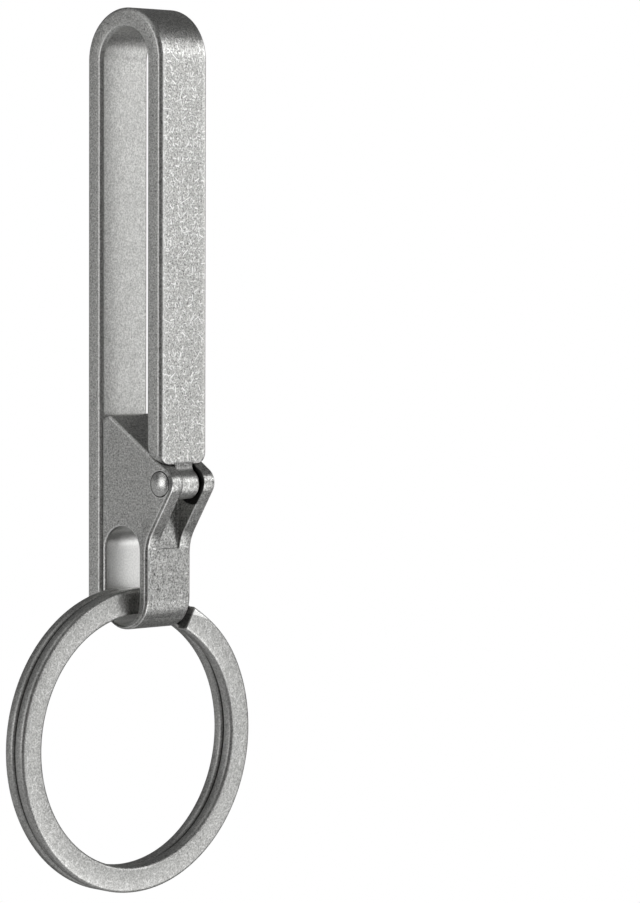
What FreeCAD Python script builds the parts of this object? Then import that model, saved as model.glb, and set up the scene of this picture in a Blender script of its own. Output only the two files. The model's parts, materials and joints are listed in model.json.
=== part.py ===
"""Belt key clip: a springy one-piece hook of flat titanium bar that hangs on a belt,
with a swinging gate lever on a domed rivet and a two-turn split ring in the lever's slot.

Frame: the origin is under the crown of the hook, where the belt's top edge bears,
midway between the two arms. X runs from the back arm to the front arm, Y runs along
the belt and the rivet, Z points up. All sizes are in millimetres.
"""
import FreeCAD, Part
import math
import os

V = FreeCAD.Vector

# Flat bar bent into the hook
bar_width = 7.0
bar_thickness = 2.1
belt_gap = 6.55
bar_chamfer = 0.3
back_arm_drop = 62.0
back_end_outer_radius = 1.2
back_end_inner_radius = 0.5
back_end_corner_radius = 1.3
front_end_blunt = 0.06
front_end_inner_radius = 2.3
front_end_corner_radius = 1.1

# Pivot at the front arm's lower end
pivot_drop = 47.15
pivot_inset = 0.225
knuckle_radius = 1.6
knuckle_setback = 0.37
knuckle_sink = 0.1
knuckle_edge_radius = 0.22
knuckle_blend_radius = 0.8
tongue_width = 2.8
tongue_root = 4.0

# Gate lever
gate_width = 6.7
gate_chamfer = 0.24
gate_seat_clearance = 0.05
gate_back_trim = 0.19
gate_drop = 15.35
nose_slope = 34.2
nose_radius = 0.95
ear_radius = 1.65
ear_to_arm_clearance = 0.1
throat_slope = 32.0
throat_radius = 4.5
fork_gap = 3.0
fork_depth = 0.145
fork_drop = 6.9
slot_width = 4.9
slot_back_wall = 0.45
slot_end_wall = 0.45
slot_top_drop = 4.65
slot_chamfer = 0.15

# Domed rivet
rivet_radius = 0.9
rivet_running_clearance = 0.05
rivet_ear_clearance = 0.01
head_radius = 1.28
head_rim = 0.18
head_dome = 0.36
head_recess_depth = 0.12
head_recess_gap = 0.1

# Split ring of flat wire, wound in two turns
ring_outer_radius = 16.0
wire_height = 2.75
wire_thickness = 1.38
turn_gap = 0.1
wire_edge_radius = 0.4
ring_shift_y = -1.75
ring_hang = 0.4
ring_twist = -3.2
ring_lean = 1.15
front_end_angle = 29.5
jog_start_angle = -2.0
jog_end_angle = 26.0
back_end_angle = -6.0
jog_sections = 9

# Places that follow from the sizes above
inner_x = belt_gap / 2
outer_x = inner_x + bar_thickness
half_bar = bar_width / 2
half_gate = gate_width / 2
half_tongue = tongue_width / 2
pivot_x = outer_x - pivot_inset
pivot_z = -pivot_drop
back_end_z = -back_arm_drop
gate_back_x = -inner_x + gate_seat_clearance
gate_blank_x = gate_back_x - gate_back_trim
gate_front_x = inner_x - gate_seat_clearance
gate_end_z = pivot_z - gate_drop
fork_floor_x = gate_front_x - fork_depth
half_slot = slot_width / 2
slot_x = gate_back_x + slot_back_wall + half_slot
slot_low_z = gate_end_z + slot_end_wall + half_slot
slot_high_z = pivot_z - slot_top_drop - half_slot

Y_AXIS = V(0, 1, 0)


def unit(v):
    return v * (1.0 / v.Length)


def rounded_face(corners):
    """A flat face at Y = 0 from (x, z, corner radius) points; a radius of 0 leaves a sharp corner."""
    points = [V(x, 0, z) for x, z, r in corners]
    count = len(points)
    starts, ends, middles = [], [], []
    for k, (x, z, radius) in enumerate(corners):
        here = points[k]
        back = unit(points[k - 1] - here)
        onward = unit(points[(k + 1) % count] - here)
        half = back.getAngle(onward) / 2
        reach = radius / math.tan(half)
        inward = unit(back + onward)
        centre = here + inward * (radius / math.sin(half))
        starts.append(here + back * reach)
        ends.append(here + onward * reach)
        middles.append(centre - inward * radius)
    edges = []
    for k in range(count):
        if corners[k][2] > 0:
            edges.append(Part.Arc(starts[k], middles[k], ends[k]).toShape())
        after = starts[(k + 1) % count]
        if (after - ends[k]).Length > 1e-6:
            edges.append(Part.makeLine(ends[k], after))
    return Part.Face(Part.Wire(edges))


def slab(face, width):
    """The face drawn out to the given width, midway about Y = 0."""
    solid = face.extrude(V(0, width, 0))
    solid.translate(V(0, -width / 2, 0))
    return solid


def side_edges(solid, y):
    """Edges that lie in the plane at the given Y."""
    return [e for e in solid.Edges
            if abs(e.BoundBox.YMin - y) < 1e-6 and abs(e.BoundBox.YMax - y) < 1e-6]


def pin(radius, y_low, y_high):
    """A cylinder about the pivot axis."""
    return Part.makeCylinder(radius, y_high - y_low, V(pivot_x, y_low, pivot_z), Y_AXIS)


def slot_outline(y, radius):
    """The slot's outline at the given Y: two half rounds joined by straight sides."""
    high_left = V(slot_x - radius, y, slot_high_z)
    high_right = V(slot_x + radius, y, slot_high_z)
    low_left = V(slot_x - radius, y, slot_low_z)
    low_right = V(slot_x + radius, y, slot_low_z)
    return Part.Wire([
        Part.Arc(high_left, V(slot_x, y, slot_high_z + radius), high_right).toShape(),
        Part.makeLine(high_right, low_right),
        Part.Arc(low_right, V(slot_x, y, slot_low_z - radius), low_left).toShape(),
        Part.makeLine(low_left, high_left),
    ])


def corner_cutters(end_z, radius, x_low, x_high):
    """Bodies that round the two lower corners of an arm, seen from the front."""
    cutters = []
    for side in (-1, 1):
        block = Part.makeBox(x_high - x_low, radius, radius)
        low_y = half_bar - radius if side > 0 else -half_bar
        block.translate(V(x_low, low_y, end_z))
        centre = V(x_low, side * (half_bar - radius), end_z + radius)
        rod = Part.makeCylinder(radius, x_high - x_low, centre, V(1, 0, 0))
        cutters.append(block.cut(rod))
    return cutters


def corner_outline(x, side, inset):
    """Half of the front arm's lower end at the given X, with its side drawn in by the inset."""
    radius = front_end_corner_radius
    edge = half_bar - inset
    low = front_end_flat_z
    high = low + 2 * radius
    slant = radius * (1 - math.sqrt(0.5))
    foot = V(x, side * (edge - radius), low)
    hip = V(x, side * edge, low + radius)
    knee = V(x, side * (edge - slant), low + slant)
    return Part.Wire([
        Part.makeLine(V(x, 0, low), foot),
        Part.Arc(foot, knee, hip).toShape(),
        Part.makeLine(hip, V(x, side * edge, high)),
        Part.makeLine(V(x, side * edge, high), V(x, 0, high)),
        Part.makeLine(V(x, 0, high), V(x, 0, low)),
    ])


def corner_chamfer_cutters():
    """Bodies that carry the outer face's chamfer round the front arm's lower corners."""
    cutters = []
    start_x = outer_x - bar_chamfer
    for side in (-1, 1):
        kept = Part.makeLoft([corner_outline(start_x, side, 0.0),
                              corner_outline(outer_x, side, bar_chamfer)], True, True)
        low_y = 0.0 if side > 0 else -half_bar
        block = Part.makeBox(bar_chamfer, half_bar, front_end_corner_radius,
                             V(start_x, low_y, front_end_flat_z))
        cutters.append(block.cut(kept))
    return cutters


# Directions of the nose slope and the throat slope, as outward normals in the XZ plane
nose_angle = math.radians(nose_slope)
throat_angle = math.radians(throat_slope)
nose_normal = (math.sin(nose_angle), math.cos(nose_angle))
throat_normal = (math.cos(throat_angle), -math.sin(throat_angle))


def on_slope(normal, distance, x):
    """Height at x of the line that passes the pivot at the given distance."""
    return pivot_z + (distance - normal[0] * (x - pivot_x)) / normal[1]


# Hook: the bent bar as one profile, then its tongue and knuckle
arm_end_distance = ear_radius + ear_to_arm_clearance
front_end_tip_z = on_slope(nose_normal, arm_end_distance, outer_x)
front_end_inner_z = on_slope(nose_normal, arm_end_distance, inner_x)
front_end_flat_z = front_end_tip_z + front_end_blunt
front_end_flat_x = outer_x - front_end_blunt * nose_normal[1] / nose_normal[0]
front_blank_z = front_end_tip_z - bar_thickness

bar_corners = [
    (-outer_x, back_end_z, back_end_outer_radius),
    (-outer_x, bar_thickness, outer_x),
    (outer_x, bar_thickness, outer_x),
    (outer_x, front_blank_z, back_end_inner_radius),
    (inner_x, front_blank_z, back_end_inner_radius),
    (inner_x, 0.0, inner_x),
    (-inner_x, 0.0, inner_x),
    (-inner_x, back_end_z, back_end_inner_radius),
]
bar = slab(rounded_face(bar_corners), bar_width)
bar = bar.makeChamfer(bar_chamfer, side_edges(bar, half_bar) + side_edges(bar, -half_bar))
for cutter in corner_cutters(back_end_z, back_end_corner_radius, -outer_x, -inner_x):
    bar = bar.cut(cutter)

# The front arm's end is trimmed along the lever's slope, with a round lead at its inner face
trim_low_z = front_blank_z - bar_thickness
trim_high_z = front_end_inner_z + bar_thickness
trim_corners = [
    (inner_x, trim_high_z, 0.0),
    (inner_x, front_end_inner_z, front_end_inner_radius),
    (front_end_flat_x, front_end_flat_z, 0.0),
    (outer_x + bar_thickness, front_end_flat_z, 0.0),
    (outer_x + bar_thickness, trim_low_z, 0.0),
    (inner_x - bar_chamfer, trim_low_z, 0.0),
    (inner_x - bar_chamfer, trim_high_z, 0.0),
]
bar = bar.cut(slab(rounded_face(trim_corners), 2 * bar_width))
for cutter in corner_cutters(front_end_flat_z, front_end_corner_radius, inner_x, outer_x):
    bar = bar.cut(cutter)
for cutter in corner_chamfer_cutters():
    bar = bar.cut(cutter)

# Tongue: the bar's full thickness, narrowed, blended into a round knuckle
knuckle_x = pivot_x - knuckle_setback
knuckle_z = pivot_z - knuckle_sink
knuckle = V(knuckle_x, 0, knuckle_z)
blend_x = outer_x + knuckle_blend_radius
blend_reach = knuckle_radius + knuckle_blend_radius
blend_z = knuckle_z + math.sqrt(blend_reach ** 2 - (blend_x - knuckle_x) ** 2)
blend = V(blend_x, 0, blend_z)
to_blend = unit(blend - knuckle)
blend_low = knuckle + to_blend * knuckle_radius
blend_high = V(outer_x, 0, blend_z)
blend_middle = blend + unit(V(-1, 0, 0) - to_blend) * knuckle_blend_radius
inner_corner = V(inner_x, 0, front_end_inner_z + front_end_inner_radius)
to_corner = inner_corner - knuckle
tangent_turn = math.acos(knuckle_radius / to_corner.Length)
tangent_angle = math.atan2(to_corner.z, to_corner.x) + tangent_turn
knuckle_back = knuckle + V(math.cos(tangent_angle), 0, math.sin(tangent_angle)) * knuckle_radius
knuckle_low = knuckle + unit(V(1, 0, -1)) * knuckle_radius
root_z = inner_corner.z + tongue_root
tongue_edges = [
    Part.makeLine(V(outer_x, 0, root_z), blend_high),
    Part.Arc(blend_high, blend_middle, blend_low).toShape(),
    Part.Arc(blend_low, knuckle_low, knuckle_back).toShape(),
    Part.makeLine(knuckle_back, inner_corner),
    Part.makeLine(inner_corner, V(inner_x, 0, root_z)),
    Part.makeLine(V(inner_x, 0, root_z), V(outer_x, 0, root_z)),
]
tongue = slab(Part.Face(Part.Wire(tongue_edges)), tongue_width)
knuckle_edges = [e for e in side_edges(tongue, half_tongue) + side_edges(tongue, -half_tongue)
                 if e.BoundBox.ZMax < front_end_inner_z - knuckle_edge_radius]
tongue = tongue.makeFillet(knuckle_edge_radius, knuckle_edges)
hook = bar.fuse(tongue).removeSplitter()
hook = hook.cut(pin(rivet_radius + rivet_running_clearance, -half_bar, half_bar))

# The hook is one bar, but its back arm springs: the arm is a node of its own from the bend's end down
bend_end_z = -inner_x
arm_box = Part.makeBox(outer_x, bar_width, back_arm_drop)
arm_box.translate(V(-outer_x, -half_bar, bend_end_z - back_arm_drop))
spring_arm = hook.common(arm_box)
clip_frame = hook.cut(arm_box)

# Gate lever: nose, ears and bow as one profile
slope_cross = throat_normal[0] * nose_normal[1] - throat_normal[1] * nose_normal[0]
ear_corner = V(pivot_x + ear_radius * (nose_normal[1] - throat_normal[1]) / slope_cross,
               0,
               pivot_z + ear_radius * (throat_normal[0] - nose_normal[0]) / slope_cross)
half_shank = (gate_front_x - gate_back_x) / 2
gate_corners = [
    (gate_blank_x, on_slope(nose_normal, ear_radius, gate_blank_x), nose_radius),
    (ear_corner.x, ear_corner.z, ear_radius),
    (gate_front_x, on_slope(throat_normal, ear_radius, gate_front_x), throat_radius),
    (gate_front_x, gate_end_z, half_shank),
    (gate_blank_x, gate_end_z, half_shank),
]
gate = slab(rounded_face(gate_corners), gate_width)
gate = gate.makeChamfer(gate_chamfer, side_edges(gate, half_gate) + side_edges(gate, -half_gate))

# The lever's back is planed down, which leaves only a narrow chamfer there
planed = V(gate_back_x - bar_thickness, -half_gate, gate_end_z)
gate = gate.cut(Part.makeBox(bar_thickness, gate_width, 2 * gate_drop, planed))

gate = gate.cut(slab(Part.Face(slot_outline(0.0, half_slot)), gate_width))
for side in (-1, 1):
    deep = slot_outline(side * (half_gate - slot_chamfer), half_slot)
    wide = slot_outline(side * half_gate, half_slot + slot_chamfer)
    gate = gate.cut(Part.makeLoft([deep, wide], True, True))

# The fork for the knuckle is a straight slot with a flat floor just behind the shank's front face
fork_low = V(fork_floor_x, -fork_gap / 2, pivot_z - fork_drop)
fork_reach = pivot_x + 2 * ear_radius - fork_floor_x
gate = gate.cut(Part.makeBox(fork_reach, fork_gap, fork_drop + gate_drop, fork_low))
gate = gate.cut(pin(rivet_radius + rivet_ear_clearance, -half_gate, half_gate))
recess = head_radius + head_recess_gap
gate = gate.cut(pin(recess, half_gate - head_recess_depth, half_gate))
gate_lever = gate.cut(pin(recess, -half_gate, -half_gate + head_recess_depth))

# Rivet: a shank with a low domed head at each end, turned about the pivot axis
seat = half_gate - head_recess_depth
rim = seat + head_rim
crown = rim + head_dome
dome_radius = (head_radius ** 2 + head_dome ** 2) / (2 * head_dome)
dome_half = math.asin(head_radius / dome_radius) / 2
dome_high = V(dome_radius * math.sin(dome_half), crown - dome_radius * (1 - math.cos(dome_half)), 0)
dome_low = V(dome_high.x, -dome_high.y, 0)
rivet_edges = [
    Part.makeLine(V(0, -crown, 0), V(0, crown, 0)),
    Part.Arc(V(0, crown, 0), dome_high, V(head_radius, rim, 0)).toShape(),
    Part.makeLine(V(head_radius, rim, 0), V(head_radius, seat, 0)),
    Part.makeLine(V(head_radius, seat, 0), V(rivet_radius, seat, 0)),
    Part.makeLine(V(rivet_radius, seat, 0), V(rivet_radius, -seat, 0)),
    Part.makeLine(V(rivet_radius, -seat, 0), V(head_radius, -seat, 0)),
    Part.makeLine(V(head_radius, -seat, 0), V(head_radius, -rim, 0)),
    Part.Arc(V(head_radius, -rim, 0), dome_low, V(0, -crown, 0)).toShape(),
]
pivot_rivet = Part.Face(Part.Wire(rivet_edges)).revolve(V(0, 0, 0), Y_AXIS, 360)
pivot_rivet.translate(V(pivot_x, 0, pivot_z))

# Split ring: its wire fills the round end of the slot when it swings about that end's axis
half_turn = (wire_thickness + turn_gap) / 2
inner_radius = ring_outer_radius - wire_height
slot_edge = half_gate - slot_chamfer
lowest_wire = math.sqrt(inner_radius ** 2 - (slot_edge - ring_shift_y) ** 2)
ring_z = slot_low_z - ring_hang - (ring_outer_radius + lowest_wire) / 2
middle_radius = ring_outer_radius - wire_height / 2


def wire_section(angle, offset):
    """The wire's rounded section on the ring's circle, at an angle from the top towards +Y."""
    turn = math.radians(angle)
    out = V(0, math.sin(turn), math.cos(turn))
    across = V(1, 0, 0)
    middle = V(slot_x + offset, ring_shift_y, ring_z) + out * middle_radius
    a = wire_thickness / 2
    b = wire_height / 2
    r = wire_edge_radius
    s = r * (1 - math.sqrt(0.5))
    at = lambda p, q: middle + across * p + out * q
    edges = []
    for p, q in ((1, 1), (-1, 1), (-1, -1), (1, -1)):
        first = at(p * a, q * (b - r))
        last = at(p * (a - r), q * b)
        if p * q < 0:
            first, last = last, first
        edges.append(Part.Arc(first, at(p * (a - s), q * (b - s)), last).toShape())
    edges.insert(1, Part.makeLine(at(a - r, b), at(-a + r, b)))
    edges.insert(3, Part.makeLine(at(-a, b - r), at(-a, -b + r)))
    edges.insert(5, Part.makeLine(at(-a + r, -b), at(a - r, -b)))
    edges.append(Part.makeLine(at(a, -b + r), at(a, b - r)))
    return Part.Wire(edges)


def turn_of_wire(start, end, offset):
    """A flat turn of the wire from one angle to another."""
    face = Part.Face(wire_section(start, offset))
    return face.revolve(V(slot_x, ring_shift_y, ring_z), V(-1, 0, 0), end - start)


front_turn = turn_of_wire(front_end_angle, 360.0 + jog_start_angle, half_turn)
back_turn = turn_of_wire(jog_end_angle, 360.0 + back_end_angle, -half_turn)
sections = []
for k in range(jog_sections):
    share = k / (jog_sections - 1)
    eased = share * share * (3 - 2 * share)
    angle = jog_start_angle + (jog_end_angle - jog_start_angle) * share
    sections.append(wire_section(angle, half_turn * (1 - 2 * eased)))
jog = Part.makeLoft(sections, True, False)
split_ring = front_turn.fuse([jog, back_turn])
split_ring.rotate(V(slot_x, 0, 0), V(0, 0, 1), ring_twist)
split_ring.rotate(V(slot_x, 0, slot_low_z), Y_AXIS, ring_lean)

nodes = {
    "clip_frame": clip_frame,
    "spring_arm": spring_arm,
    "gate_lever": gate_lever,
    "pivot_rivet": pivot_rivet,
    "split_ring": split_ring,
}

os.makedirs("parts", exist_ok=True)
for name, shape in nodes.items():
    solids = shape.Solids
    print(name, "solids", len(solids), "valid", shape.isValid(), "volume", round(shape.Volume, 2),
          "box", [round(v, 2) for v in (shape.BoundBox.XMin, shape.BoundBox.XMax, shape.BoundBox.YMin,
                                         shape.BoundBox.YMax, shape.BoundBox.ZMin, shape.BoundBox.ZMax)])
    solids[0].exportStep("parts/" + name + ".step")
print("swing axis of the ring", round(slot_x, 3), round(slot_low_z, 3), "ring centre z", round(ring_z, 3))
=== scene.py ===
"""Belt key clip: a bent titanium hook, its gate lever on a domed rivet and a split ring.

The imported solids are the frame. The hook and the lever are rounded copies of their solids, the rivet is
turned on a lathe profile and the ring is wound by Geometry Nodes. Lengths are metres, and millimetres inside
the materials.
"""

import json
import math
from functools import partial
from typing import NamedTuple

import bmesh
import bpy
from bpy.props import FloatProperty, FloatVectorProperty, IntProperty, PointerProperty
from mathutils import Matrix, Vector


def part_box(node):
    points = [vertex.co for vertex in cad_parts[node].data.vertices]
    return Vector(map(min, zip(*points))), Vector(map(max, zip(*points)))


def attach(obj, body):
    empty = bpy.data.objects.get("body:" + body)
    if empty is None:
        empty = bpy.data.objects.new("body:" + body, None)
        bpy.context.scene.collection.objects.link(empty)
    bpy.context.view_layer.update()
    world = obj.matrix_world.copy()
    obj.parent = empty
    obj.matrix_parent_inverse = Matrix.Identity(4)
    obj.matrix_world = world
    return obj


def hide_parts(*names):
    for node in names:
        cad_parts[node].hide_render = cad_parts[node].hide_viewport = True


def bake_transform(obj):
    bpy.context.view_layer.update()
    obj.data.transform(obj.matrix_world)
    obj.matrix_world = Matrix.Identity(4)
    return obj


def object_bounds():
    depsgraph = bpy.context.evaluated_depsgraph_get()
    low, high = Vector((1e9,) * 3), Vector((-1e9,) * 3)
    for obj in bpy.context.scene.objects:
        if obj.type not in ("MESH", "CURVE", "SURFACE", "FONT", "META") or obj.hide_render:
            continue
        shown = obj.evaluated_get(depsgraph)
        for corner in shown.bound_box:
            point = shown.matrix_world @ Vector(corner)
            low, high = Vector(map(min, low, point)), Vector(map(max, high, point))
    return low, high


bl_info = {
    "name": "Belt Key Clip",
    "version": (1, 0, 0),
    "blender": (4, 5, 0),
    "location": "View3D > Sidebar > Key Clip",
    "description": "Builds a stonewashed belt key clip around its packed solids",
    "category": "Object",
}

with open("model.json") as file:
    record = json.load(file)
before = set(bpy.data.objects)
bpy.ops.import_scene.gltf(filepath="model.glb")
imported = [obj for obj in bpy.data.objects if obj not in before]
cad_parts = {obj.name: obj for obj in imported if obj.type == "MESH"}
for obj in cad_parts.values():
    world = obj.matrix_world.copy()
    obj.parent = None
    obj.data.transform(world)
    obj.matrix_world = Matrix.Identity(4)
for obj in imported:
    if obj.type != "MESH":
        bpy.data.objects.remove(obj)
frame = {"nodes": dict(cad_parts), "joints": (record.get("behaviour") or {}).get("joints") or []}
CAD_BOX = [list(corner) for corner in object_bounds()]

MM = 0.001
WORN = "worn_edge"

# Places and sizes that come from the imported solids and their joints
JOINTS = {joint["name"]: joint for joint in frame["joints"]}
PIVOT = Vector(JOINTS["gate_hinge"]["pos_m"])
SLOT_END = Vector(JOINTS["ring_swing"]["pos_m"])
ARM_LOW, ARM_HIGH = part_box("spring_arm")
BELT_HALF_GAP = -ARM_HIGH.x
BAR_OUTSIDE = -ARM_LOW.x
BAR_HALF_WIDTH = ARM_HIGH.y
BEND_Z = ARM_HIGH.z
LEVER_LOW, LEVER_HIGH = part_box("gate_lever")
LEVER_HALF_DEPTH = -LEVER_LOW.x
LEVER_END_RADIUS = SLOT_END.z - LEVER_LOW.z
LEVER_FACE_X = SLOT_END.x + LEVER_END_RADIUS
RIVET_LOW, RIVET_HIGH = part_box("pivot_rivet")
HEAD_RADIUS = (RIVET_HIGH.x - RIVET_LOW.x) / 2
RING_LOW, RING_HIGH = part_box("split_ring")
RING_CENTRE = (RING_LOW + RING_HIGH) / 2
OBJECT_MIDDLE = Vector((0, 0, (CAD_BOX[0][2] + CAD_BOX[1][2]) / 2))

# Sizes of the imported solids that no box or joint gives
TONGUE_HALF_WIDTH = 1.4 * MM
RECESS_RADIUS = HEAD_RADIUS + 0.15 * MM


# Sizes and colours that a user would change


def length(name, description, default):
    """A length property in metres."""
    return FloatProperty(name=name, description=description, default=default, unit="LENGTH", precision=5)


def angle(name, description, degrees):
    """An angle property, with its default in degrees."""
    return FloatProperty(name=name, description=description, default=math.radians(degrees), unit="ROTATION")


def colour(name, description, default):
    """A linear colour property."""
    return FloatVectorProperty(
        name=name, description=description, default=default, subtype="COLOR", size=3, min=0, max=1
    )


def factor(name, description, default):
    """A plain number from 0 up."""
    return FloatProperty(name=name, description=description, default=default, min=0)


def watts(name, description, default):
    """A lamp's power."""
    return FloatProperty(name=name, description=description, default=default, min=0, unit="POWER")


class ClipBarSettings(bpy.types.PropertyGroup):
    """The hook and the lever."""

    hook_edge: length("Hook edge", "Rounding that tumbling leaves on the hook's edges", 0.14 * MM)
    lever_edge: length("Lever edge", "Rounding that tumbling leaves on the lever's edges", 0.11 * MM)
    end_slope: angle("End slope", "Slope of the front arm's end face, above the lever's nose", 34.2)
    end_reach: length("End reach", "Distance of the front arm's end face from the pivot", 1.75 * MM)
    hook_colour: colour("Hook colour", "Colour of the hook's bare metal", (0.5, 0.5, 0.487))
    lever_colour: colour("Lever colour", "Colour of the lever's bare metal", (0.48, 0.48, 0.468))


class ClipRivetSettings(bpy.types.PropertyGroup):
    """The rivet."""

    head_radius: length("Head radius", "Radius of the domed heads", HEAD_RADIUS)
    head_rim: length("Head rim", "Height of a head's straight rim", 0.18 * MM)
    head_dome: length("Head dome", "Rise of a head's dome above its rim", 0.36 * MM)
    shank_radius: length("Shank radius", "Radius of the shank", 0.9 * MM)
    rivet_colour: colour("Rivet colour", "Colour of the rivet's bare metal", (0.68, 0.68, 0.665))


class ClipRingSettings(bpy.types.PropertyGroup):
    """The split ring."""

    outer_radius: length("Outer radius", "Outside radius of the ring", 16.0 * MM)
    wire_height: length("Wire height", "Radial height of the flat wire", 2.75 * MM)
    wire_thickness: length("Wire thickness", "Thickness of one turn", 1.38 * MM)
    turn_gap: length("Turn gap", "Gap between the two turns", 0.1 * MM)
    edge_radius: length("Edge radius", "Rounding of the wire's edges", 0.4 * MM)
    front_end: angle("Front end", "Where the front turn starts, from the top towards +Y", 29.5)
    end_inset: length("End inset", "How far the front end is bent in", 0.32 * MM)
    end_bend: angle("End bend", "Stretch of wire that the front end's bend takes", 30)
    # The ground outer edge is only a painted highlight in the ring's material; the wire's shape has no ground
    # facet.
    end_highlight: angle("End flat", "Stretch of wire whose outer edge is ground bright at the front end", 15)
    jog_start: angle("Jog start", "Where the wire leaves the front turn", 358)
    jog_end: angle("Jog end", "Where the wire reaches the back turn", 386)
    back_end: angle("Back end", "Where the back turn stops", 714)
    twist: angle("Twist", "Turn of the ring about the upright axis, as it hangs in the slot", -3.2)
    lean: angle("Lean", "Lean of the hanging ring towards the back", 1.15)
    steps: IntProperty(name="Steps", description="Sections along the wire", default=420, min=24)
    ring_colour: colour("Ring colour", "Colour of the ring's bare metal", (0.47, 0.47, 0.458))


class ClipStageSettings(bpy.types.PropertyGroup):
    """The camera, the light and the floor."""

    camera_yaw: angle("Camera yaw", "Turn of the view to the hook's front", 42.152)
    camera_pitch: angle("Camera pitch", "How far the view looks down", 2.5362)
    camera_roll: angle("Camera roll", "Lean of the camera", 0.1751)
    camera_distance: length("Camera distance", "Depth of the belt seat in the view", 433.877 * MM)
    camera_right: length("Camera right", "How far the belt seat is right of the view's middle", -18.1044 * MM)
    camera_up: length("Camera up", "How far the belt seat is above the view's middle", 43.9326 * MM)
    focal_pixels: factor("Focal pixels", "Focal length in pixels of the picture", 4167.0)
    floor_drop: length("Floor drop", "How far the floor is below the belt seat", 1.8)
    floor_colour: colour("Floor colour", "Colour of the floor", (0.9, 0.9, 0.9))
    room_level: factor("Room level", "Strength of the even light in the room", 0.5)
    right_watts: watts("Right softbox", "Power of the softbox that the front faces mirror", 1.85)
    left_watts: watts("Left softbox", "Power of the softbox left of the camera", 1.05)
    low_watts: watts("Low softbox", "Power of the softbox below the front", 3.3)


# Node building blocks

FLOAT = "NodeSocketFloat"
VECTOR = "NodeSocketVector"
GEOMETRY = "NodeSocketGeometry"


class Wiring:
    """Adds nodes to one node tree and links them."""

    def __init__(self, tree):
        self.tree = tree

    def put(self, socket, value):
        """Links a socket to another, or sets its value."""
        if isinstance(value, bpy.types.NodeSocket):
            self.tree.links.new(value, socket)
        else:
            socket.default_value = value

    def node(self, kind, inputs=None, **settings):
        """A new node with its settings, and its inputs by name or number."""
        made = self.tree.nodes.new(kind)
        for name, value in settings.items():
            setattr(made, name, value)
        for name, value in (inputs or {}).items():
            self.put(made.inputs[name], value)
        return made

    def first(self, kind, inputs=None, **settings):
        """The first output of a new node."""
        return self.node(kind, inputs, **settings).outputs[0]

    def math(self, operation, *values, clamp=False):
        """The result of a math node."""
        return self.first("ShaderNodeMath", dict(enumerate(values)), operation=operation, use_clamp=clamp)

    def chain(self, operation, result, *others):
        """The result of a math operation on several values, one after another."""
        for other in others:
            result = self.math(operation, result, other)
        return result

    def plus(self, *values):
        """The sum of values."""
        return self.chain("ADD", *values)

    def minus(self, *values):
        """The first value less the others."""
        return self.chain("SUBTRACT", *values)

    def times(self, *values):
        """The product of values."""
        return self.chain("MULTIPLY", *values)

    def greatest(self, *values):
        """The greatest of values."""
        return self.chain("MAXIMUM", *values)

    def inverse(self, mask):
        """What a mask leaves of 1."""
        return self.minus(1.0, mask)

    def absolute(self, value):
        """A value without its sign."""
        return self.math("ABSOLUTE", value)

    def above(self, value, limit):
        """1 where a value is above a limit."""
        return self.math("GREATER_THAN", value, limit)

    def below(self, value, limit):
        """1 where a value is below a limit."""
        return self.math("LESS_THAN", value, limit)

    def hypot(self, a, b):
        """The length of a vector from its two parts."""
        return self.math("SQRT", self.plus(self.times(a, a), self.times(b, b)))

    def vector(self, operation, *values):
        """The vector that a vector math node gives."""
        return self.first("ShaderNodeVectorMath", dict(enumerate(values)), operation=operation)

    def dot(self, a, b):
        """The dot product of two vectors."""
        return self.node("ShaderNodeVectorMath", {0: a, 1: b}, operation="DOT_PRODUCT").outputs["Value"]

    def scaled(self, vector, scale):
        """A vector times a number."""
        return self.first("ShaderNodeVectorMath", {"Vector": vector, "Scale": scale}, operation="SCALE")

    def ramp(self, value, low, high, start=0.0, end=1.0):
        """A smooth step from start to end while value goes from low to high."""
        inputs = dict(enumerate((value, low, high, start, end)))
        return self.first("ShaderNodeMapRange", inputs, interpolation_type="SMOOTHSTEP")

    def split(self, vector):
        """The three parts of a vector."""
        return self.node("ShaderNodeSeparateXYZ", {"Vector": vector}).outputs

    def join(self, x, y, z):
        """A vector from three numbers."""
        return self.first("ShaderNodeCombineXYZ", {"X": x, "Y": y, "Z": z})

    def noise(self, vector, scale, detail, roughness):
        """Plain noise around 0.5."""
        inputs = {"Vector": vector, "Scale": scale, "Detail": detail, "Roughness": roughness}
        return self.node("ShaderNodeTexNoise", inputs, noise_dimensions="3D").outputs["Fac"]

    def between(self, share, low, high):
        """A number between two others. A mix node's sockets share their names, so they go by number."""
        return self.node("ShaderNodeMix", {0: share, 2: low, 3: high}, data_type="FLOAT").outputs[0]

    def tint(self, share, low, high):
        """A colour between two others."""
        return self.node("ShaderNodeMix", {0: share, 6: low, 7: high}, data_type="RGBA").outputs[2]

    def group(self, tree, **values):
        """The outputs of a node group, with its inputs set by name."""
        return self.node("ShaderNodeGroup", values, node_tree=tree).outputs

    def mixed(self, share, low, high):
        """One shader, or another for a share of the rays."""
        return self.first("ShaderNodeMixShader", {0: share, 1: low, 2: high})


def new_tree(name, kind, inputs, outputs):
    """The wiring of an empty node group with sockets of the given kinds, and the outputs of its start."""
    tree = bpy.data.node_groups.new(name, kind)
    for in_out, sockets in (("INPUT", inputs), ("OUTPUT", outputs)):
        for label, socket_type in sockets.items():
            tree.interface.new_socket(label, in_out=in_out, socket_type=socket_type)
    wire = Wiring(tree)
    return wire, wire.node("NodeGroupInput").outputs


def new_material(name):
    """A material with nodes, and its wiring."""
    material = bpy.data.materials.new(name)
    material.use_nodes = True
    return material, Wiring(material.node_tree)


# Shader groups that the metals share


def shared(name, build):
    """A shader group, built when it is first asked for."""
    return bpy.data.node_groups.get(name) or build(name)


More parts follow.
